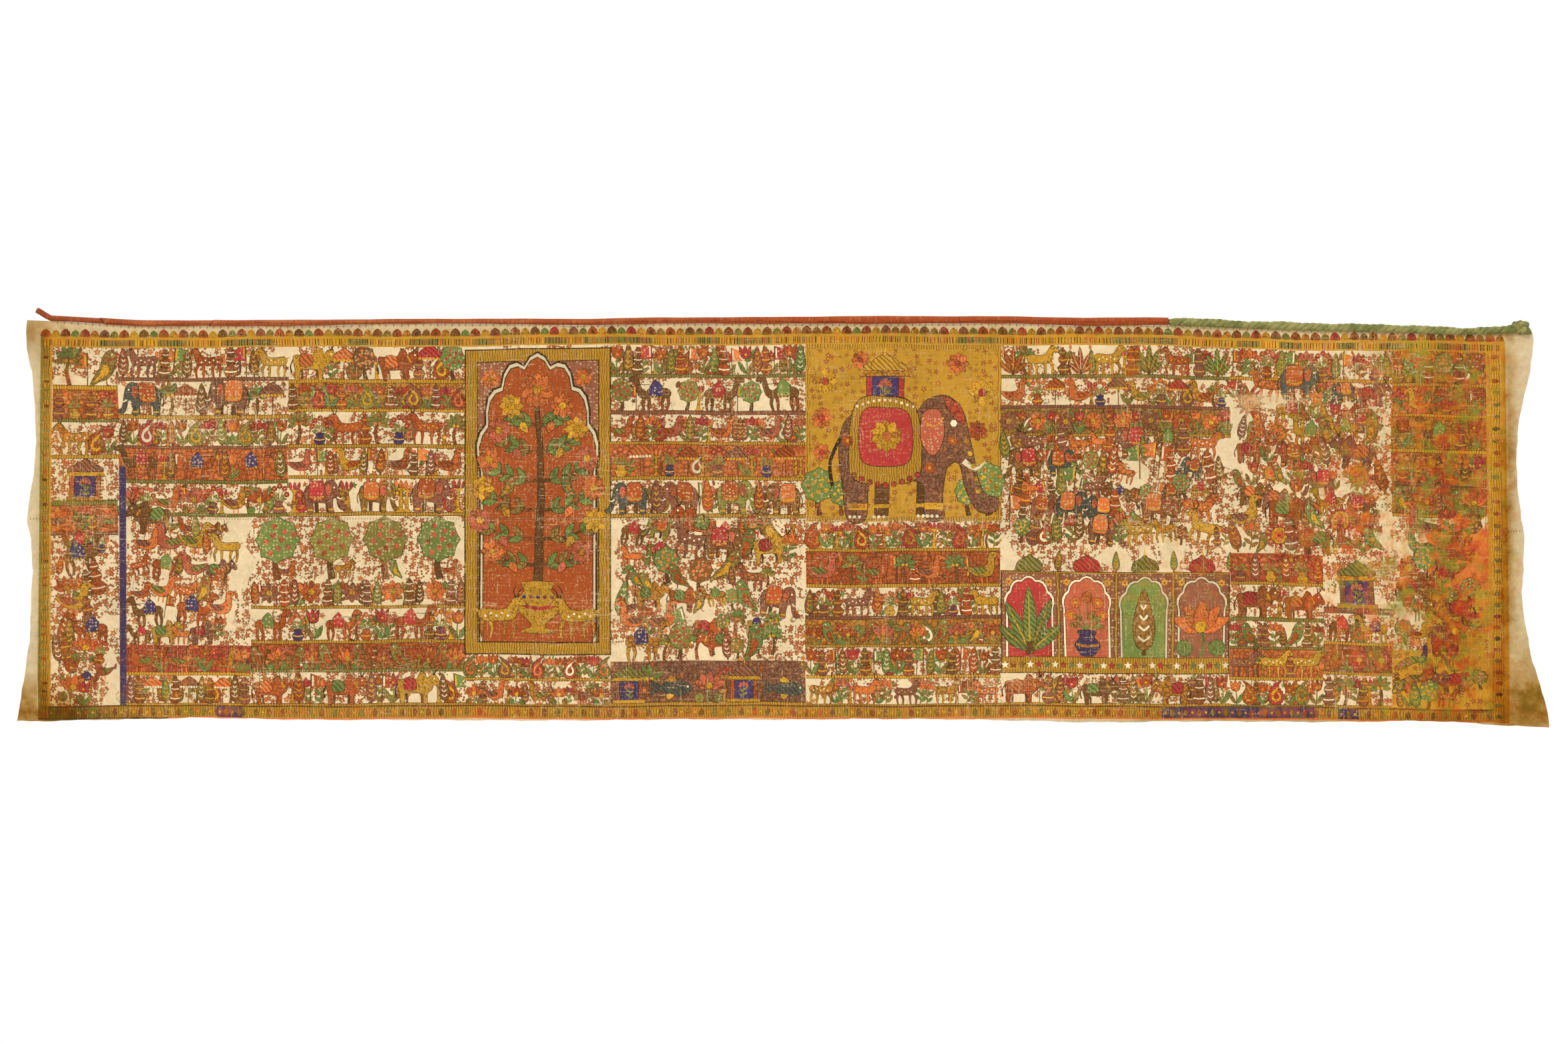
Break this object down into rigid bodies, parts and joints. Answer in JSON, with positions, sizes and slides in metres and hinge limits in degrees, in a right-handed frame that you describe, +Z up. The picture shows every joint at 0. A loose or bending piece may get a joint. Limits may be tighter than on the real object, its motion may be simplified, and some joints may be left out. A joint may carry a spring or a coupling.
{
  "type": "painted cotton hanging",
  "caption": "Long painted cotton hanging of two loom widths joined by a level seam, with a rolled and twisted cloth heading along its top edge.",
  "frame": {"origin": "on top of the heading roll, at the middle of the length, where the hanging is held up", "axes": "+X along the hanging to the right as seen from the painted side, -Y out of the painted side, +Z up"},
  "size_m": [4.938, 0.0431, 1.3536],
  "materials": {
    "painted_cotton_upper": "stone paints on sized and rubbed cotton, worn matt",
    "painted_cotton_lower": "stone paints on sized and rubbed cotton, worn matt",
    "red_cotton_roll": "dyed plain-weave cotton, rolled",
    "green_cotton_twist": "dyed plain-weave cotton, twisted"
  },
  "bodies": {
    "root": {"cloth_upper": "painted_cotton_upper", "cloth_lower": "painted_cotton_lower", "heading_roll": "red_cotton_roll", "heading_twist": "green_cotton_twist"}
  },
  "joints": []
}
